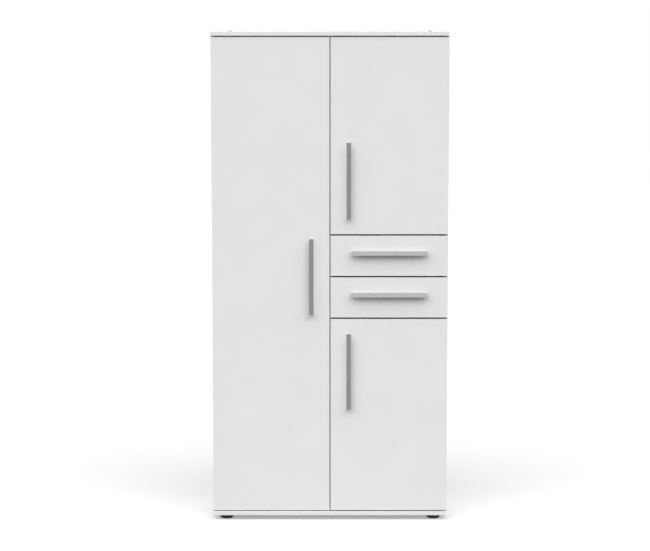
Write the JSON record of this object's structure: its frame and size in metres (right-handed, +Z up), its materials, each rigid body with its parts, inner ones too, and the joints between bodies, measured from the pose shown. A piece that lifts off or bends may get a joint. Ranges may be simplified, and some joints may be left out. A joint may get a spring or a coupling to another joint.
{
  "type": "multi-purpose cabinet",
  "caption": "Tall white two-column storage cabinet: a full-height left door; on the right a door, drawers and a door, with bar handles and round glides.",
  "frame": {"origin": "on the floor under the middle of the bounding box", "axes": "+Z up, +Y towards the wall behind the cabinet, +X to the right seen from the front"},
  "size_m": [0.9, 0.42, 1.894],
  "materials": {
    "white_board": "satin melamine, light fine grain",
    "white_backing": "matt lacquered hardboard",
    "drawer_board": "satin foil",
    "brushed_nickel": "brushed, satin",
    "nickel_plate": "bright nickel plating",
    "white_coated_steel": "powder coated",
    "white_nylon": "moulded",
    "black_plastic": "moulded",
    "zinc": "zinc plated",
    "beech": "bare",
    "clear_bumper": "translucent, soft"
  },
  "bodies": {
    "carcass": {"bottom_panel": "white_board", "cabinet_rails": "white_coated_steel", "cam_bolts": "zinc", "cam_locks": "zinc", "carcass_screws": "zinc", "centre_partition": "white_board", "door_bumpers": "clear_bumper", "dowels": "beech", "feet": "black_plastic", "hinge_arms": "nickel_plate", "hinge_plates": "nickel_plate", "left_back_panel": "white_backing", "left_fixed_shelf": "white_board", "left_shelf_lower": "white_board", "left_shelf_middle": "white_board", "left_shelf_upper": "white_board", "left_side_panel": "white_board", "lower_right_shelf": "white_board", "right_back_panel": "white_backing", "right_side_panel": "white_board", "shelf_above_drawers": "white_board", "shelf_below_drawers": "white_board", "shelf_pins": "zinc", "top_panel": "white_board", "upper_right_shelf": "white_board", "wall_brackets": "zinc"},
    "left_door": {"left_door": "white_board", "left_door_handle": "brushed_nickel", "left_door_hinge_cups": "nickel_plate"},
    "upper_door": {"upper_door": "white_board", "upper_door_handle": "brushed_nickel", "upper_door_hinge_cups": "nickel_plate"},
    "lower_door": {"lower_door": "white_board", "lower_door_handle": "brushed_nickel", "lower_door_hinge_cups": "nickel_plate"},
    "upper_drawer": {"upper_drawer_front": "white_board", "upper_drawer_left_side": "drawer_board", "upper_drawer_right_side": "drawer_board", "upper_drawer_back": "drawer_board", "upper_drawer_bottom": "drawer_board", "upper_drawer_rails": "white_coated_steel", "upper_drawer_handle": "brushed_nickel"},
    "upper_drawer_rollers": {"upper_drawer_rollers": "white_nylon"},
    "upper_drawer_cabinet_rollers": {"upper_drawer_cabinet_rollers": "white_nylon"},
    "lower_drawer": {"lower_drawer_front": "white_board", "lower_drawer_left_side": "drawer_board", "lower_drawer_right_side": "drawer_board", "lower_drawer_back": "drawer_board", "lower_drawer_bottom": "drawer_board", "lower_drawer_rails": "white_coated_steel", "lower_drawer_handle": "brushed_nickel"},
    "lower_drawer_rollers": {"lower_drawer_rollers": "white_nylon"},
    "lower_drawer_cabinet_rollers": {"lower_drawer_cabinet_rollers": "white_nylon"},
    "left_door_outer_links": {"left_door_outer_links": "nickel_plate"},
    "left_door_inner_links": {"left_door_inner_links": "nickel_plate"},
    "upper_door_outer_links": {"upper_door_outer_links": "nickel_plate"},
    "upper_door_inner_links": {"upper_door_inner_links": "nickel_plate"},
    "lower_door_outer_links": {"lower_door_outer_links": "nickel_plate"},
    "lower_door_inner_links": {"lower_door_inner_links": "nickel_plate"}
  },
  "joints": [
    {"name": "left_door_link_turn", "type": "hinge", "parent": "carcass", "child": "left_door_outer_links", "pos_m": [-0.414, -0.1706, 0.9445], "axis": [0, 0, 1], "range_deg": [0, 43.58]},
    {"name": "left_door_swing", "type": "hinge", "parent": "left_door_outer_links", "child": "left_door", "pos_m": [-0.44035, -0.1768, 0.9445], "axis": [0, 0, -1], "range_deg": [0, 138.08]},
    {"name": "left_door_inner_link_turn", "type": "hinge", "parent": "carcass", "child": "left_door_inner_links", "pos_m": [-0.4262, -0.1803, 0.9445], "axis": [0, 0, 1], "range_deg": [0, 66.57]},
    {"name": "upper_door_link_turn", "type": "hinge", "parent": "carcass", "child": "upper_door_outer_links", "pos_m": [0.414, -0.1706, 1.47887], "axis": [0, 0, -1], "range_deg": [0, 43.58]},
    {"name": "upper_door_swing", "type": "hinge", "parent": "upper_door_outer_links", "child": "upper_door", "pos_m": [0.44035, -0.1768, 1.47887], "axis": [0, 0, 1], "range_deg": [0, 138.08]},
    {"name": "upper_door_inner_link_turn", "type": "hinge", "parent": "carcass", "child": "upper_door_inner_links", "pos_m": [0.4262, -0.1803, 1.47887], "axis": [0, 0, -1], "range_deg": [0, 66.57]},
    {"name": "lower_door_link_turn", "type": "hinge", "parent": "carcass", "child": "lower_door_outer_links", "pos_m": [0.414, -0.1706, 0.41013], "axis": [0, 0, -1], "range_deg": [0, 43.58]},
    {"name": "lower_door_swing", "type": "hinge", "parent": "lower_door_outer_links", "child": "lower_door", "pos_m": [0.44035, -0.1768, 0.41013], "axis": [0, 0, 1], "range_deg": [0, 138.08]},
    {"name": "lower_door_inner_link_turn", "type": "hinge", "parent": "carcass", "child": "lower_door_inner_links", "pos_m": [0.4262, -0.1803, 0.41013], "axis": [0, 0, -1], "range_deg": [0, 66.57]},
    {"name": "upper_drawer_slide", "type": "slide", "parent": "carcass", "child": "upper_drawer", "axis": [0, -1, 0], "range_m": [0, 0.27]},
    {"name": "upper_drawer_cabinet_rollers_turn", "type": "hinge", "parent": "carcass", "child": "upper_drawer_cabinet_rollers", "pos_m": [0.22125, -0.159, 0.97175], "axis": [1, 0, 0], "range_deg": [0, 1850]},
    {"name": "upper_drawer_rollers_turn", "type": "hinge", "parent": "upper_drawer", "child": "upper_drawer_rollers", "pos_m": [0.22125, 0.167, 0.97315], "axis": [1, 0, 0], "range_deg": [0, 1850]},
    {"name": "lower_drawer_slide", "type": "slide", "parent": "carcass", "child": "lower_drawer", "axis": [0, -1, 0], "range_m": [0, 0.27]},
    {"name": "lower_drawer_cabinet_rollers_turn", "type": "hinge", "parent": "carcass", "child": "lower_drawer_cabinet_rollers", "pos_m": [0.22125, -0.159, 0.81225], "axis": [1, 0, 0], "range_deg": [0, 1850]},
    {"name": "lower_drawer_rollers_turn", "type": "hinge", "parent": "lower_drawer", "child": "lower_drawer_rollers", "pos_m": [0.22125, 0.167, 0.81365], "axis": [1, 0, 0], "range_deg": [0, 1850]}
  ],
  "couplings": [
    {"joint": "left_door_link_turn", "follows": "left_door_swing", "ratio": 0.312},
    {"joint": "left_door_inner_link_turn", "follows": "left_door_swing", "ratio": 0.4785},
    {"joint": "upper_door_link_turn", "follows": "upper_door_swing", "ratio": 0.312},
    {"joint": "upper_door_inner_link_turn", "follows": "upper_door_swing", "ratio": 0.4785},
    {"joint": "lower_door_link_turn", "follows": "lower_door_swing", "ratio": 0.312},
    {"joint": "lower_door_inner_link_turn", "follows": "lower_door_swing", "ratio": 0.4785},
    {"joint": "upper_drawer_cabinet_rollers_turn", "follows": "upper_drawer_slide", "rad_per_m": 119.05},
    {"joint": "upper_drawer_rollers_turn", "follows": "upper_drawer_slide", "rad_per_m": 119.05},
    {"joint": "lower_drawer_cabinet_rollers_turn", "follows": "lower_drawer_slide", "rad_per_m": 119.05},
    {"joint": "lower_drawer_rollers_turn", "follows": "lower_drawer_slide", "rad_per_m": 119.05}
  ]
}
